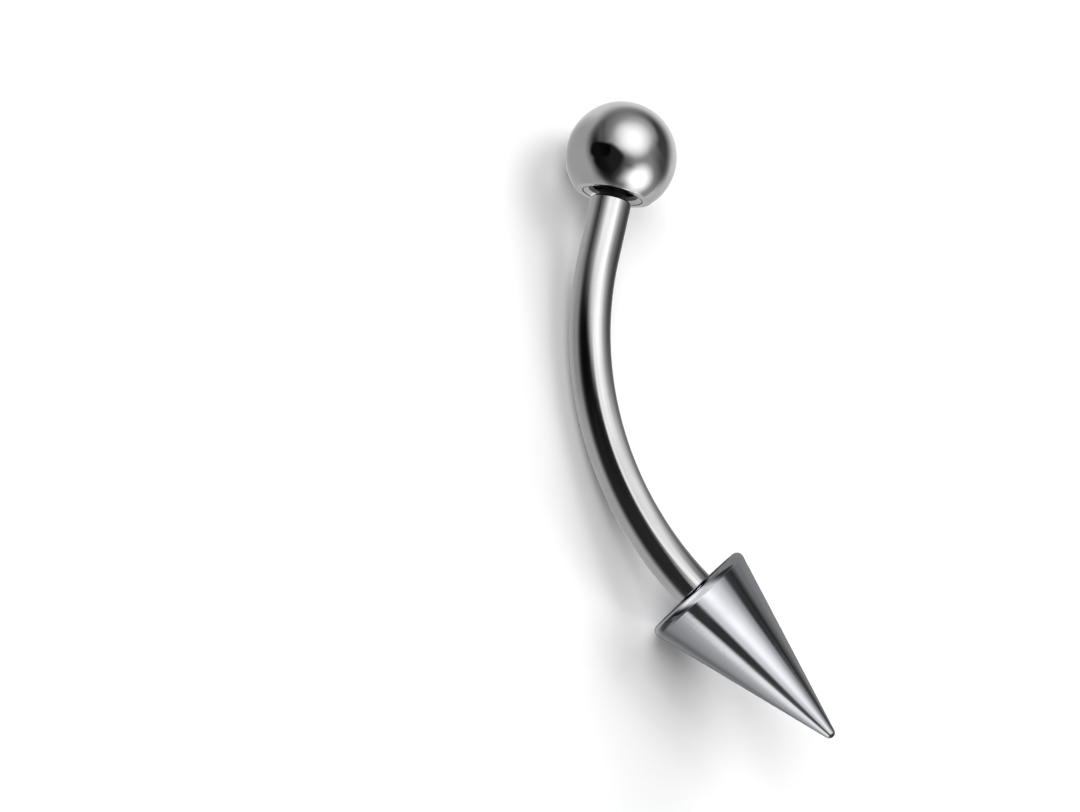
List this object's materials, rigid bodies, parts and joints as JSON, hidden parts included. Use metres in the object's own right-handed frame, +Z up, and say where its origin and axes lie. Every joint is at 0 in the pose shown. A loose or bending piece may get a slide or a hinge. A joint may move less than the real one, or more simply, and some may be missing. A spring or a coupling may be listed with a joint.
{
  "type": "curved barbell with a ball and a long spike",
  "caption": "Bent steel bar for a piercing, a ball screwed on one end and a long spike on the other, lying on its bow.",
  "frame": {"origin": "on the ground, under the middle of the resting barbell's outline", "axes": "+X along the barbell from the ball to the spike's tip, +Z up, -Y the side that the bow lies on"},
  "size_m": [0.026, 0.006, 0.0045],
  "materials": {
    "bar_steel": "mirror-polished surgical steel",
    "ball_steel": "mirror-polished surgical steel",
    "spike_steel": "mirror-polished surgical steel, turned, slightly cooler in tone"
  },
  "bodies": {
    "bar": {"bar": "bar_steel"},
    "ball": {"ball": "ball_steel"},
    "spike": {"spike": "spike_steel"}
  },
  "joints": [
    {"name": "ball_unscrew", "type": "slide", "parent": "bar", "child": "ball", "axis": [-0.8935, 0.4025, 0.1989], "range_m": [0, 0.0035]},
    {"name": "spike_unscrew", "type": "slide", "parent": "bar", "child": "spike", "axis": [0.8684, 0.4025, 0.2897], "range_m": [0, 0.0035]}
  ]
}
